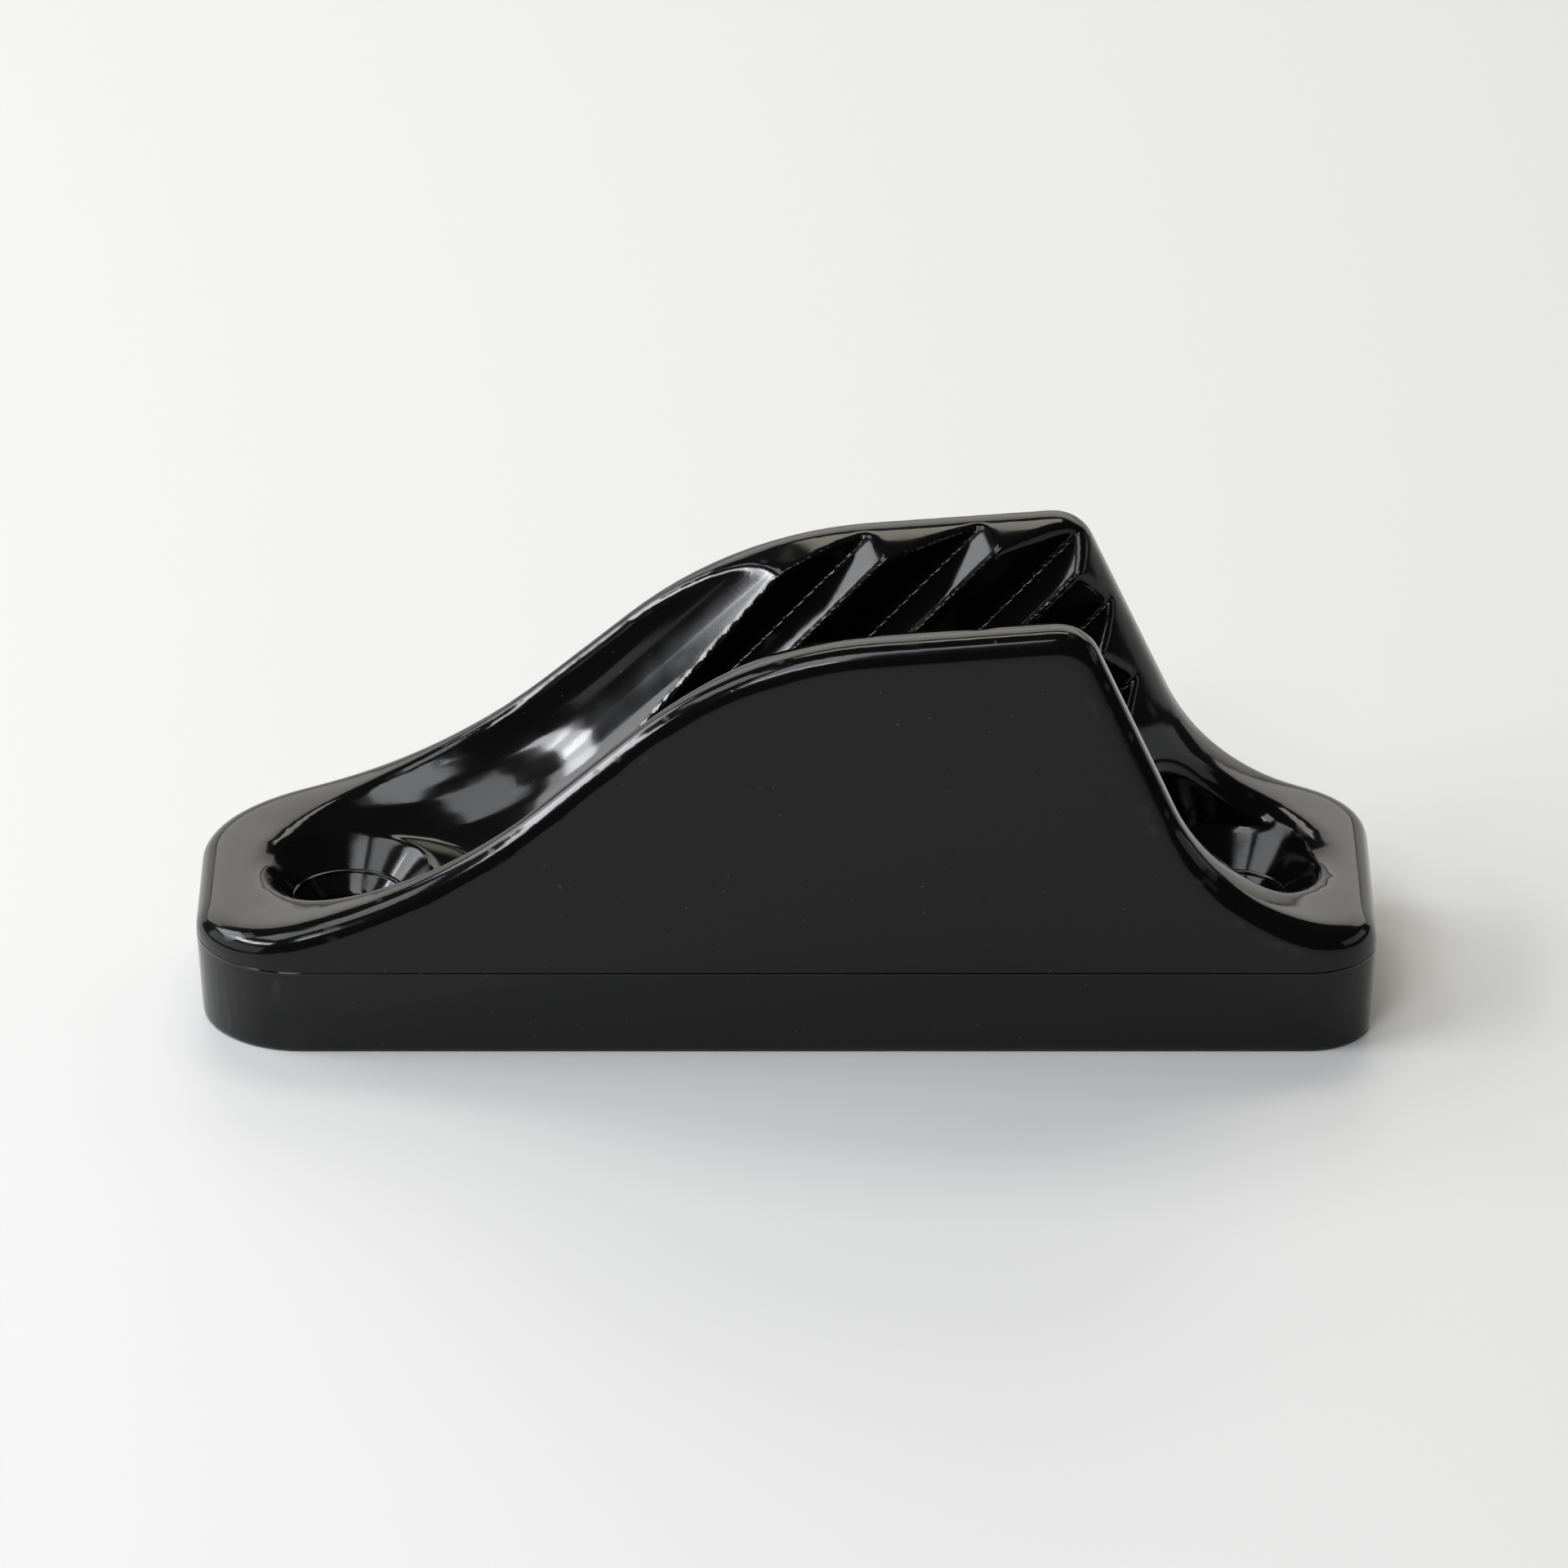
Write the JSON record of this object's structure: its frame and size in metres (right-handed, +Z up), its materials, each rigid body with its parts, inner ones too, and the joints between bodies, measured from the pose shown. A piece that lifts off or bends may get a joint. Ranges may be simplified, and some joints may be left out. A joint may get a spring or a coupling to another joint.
{
  "type": "jam cleat",
  "caption": "Moulded jam cleat: a low block with a V groove between two ribbed cheeks, a trumpet-shaped rope entry and a countersunk screw pocket at each end.",
  "frame": {"origin": "centre of the flat underside", "axes": "+X along the length, from the sloping rope entry towards the steep end; +Y across the groove; +Z up, away from the deck"},
  "size_m": [0.066, 0.02, 0.0251],
  "materials": {
    "black_nylon": "glossy as moulded"
  },
  "bodies": {
    "root": {"cleat_body": "black_nylon"}
  },
  "joints": []
}
